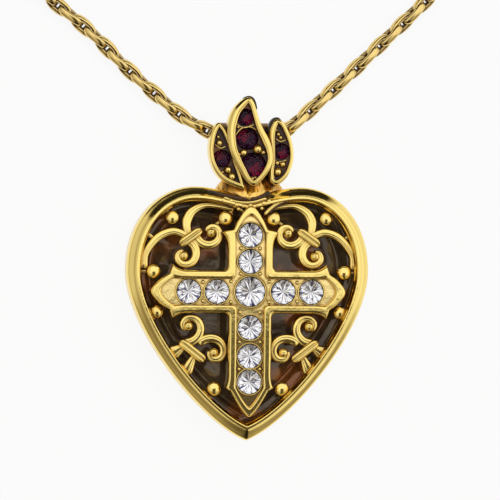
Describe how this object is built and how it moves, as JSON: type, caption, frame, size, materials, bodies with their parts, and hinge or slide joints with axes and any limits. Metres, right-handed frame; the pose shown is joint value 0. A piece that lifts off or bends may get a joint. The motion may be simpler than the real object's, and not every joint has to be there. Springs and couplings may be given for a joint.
{
  "type": "sacred heart pendant",
  "caption": "Antique-gold openwork heart pendant with a stone-set cross, a flame crest and a bail tube, on a rope chain.",
  "frame": {"origin": "middle of the pendant's outline, on the surface that its flat back lies on", "axes": "+X to the right as the front is seen, +Y from the heart's tip to the flames, +Z out of the front"},
  "size_m": [0.0552, 0.0824, 0.0061],
  "materials": {
    "cast_gold": "cast, antiqued gold plate: bright on the high faces, brown in the recesses",
    "shell_gold": "smooth gold plate, polished, with a dark brown tone inside the hollow",
    "clear_stone": "clear faceted glass with foiled backs",
    "red_stone": "dark garnet-red faceted glass with foiled backs",
    "chain_gold": "polished gold plate on rope chain, slightly antiqued between the links"
  },
  "bodies": {
    "root": {"heart_front": "cast_gold", "back_shell": "shell_gold", "flame_crest": "cast_gold", "bail_tube": "shell_gold", "clear_stone_1": "clear_stone", "clear_stone_2": "clear_stone", "clear_stone_3": "clear_stone", "clear_stone_4": "clear_stone", "clear_stone_5": "clear_stone", "clear_stone_6": "clear_stone", "clear_stone_7": "clear_stone", "clear_stone_8": "clear_stone", "clear_stone_9": "clear_stone", "clear_stone_10": "clear_stone", "red_stone_1": "red_stone", "red_stone_2": "red_stone", "red_stone_3": "red_stone", "red_stone_4": "red_stone", "red_stone_5": "red_stone", "chain_left": "chain_gold", "chain_right": "chain_gold", "chain_coil_left": "chain_gold", "chain_coil_right": "chain_gold", "chain_hook": "chain_gold", "chain_ring": "chain_gold"}
  },
  "joints": []
}
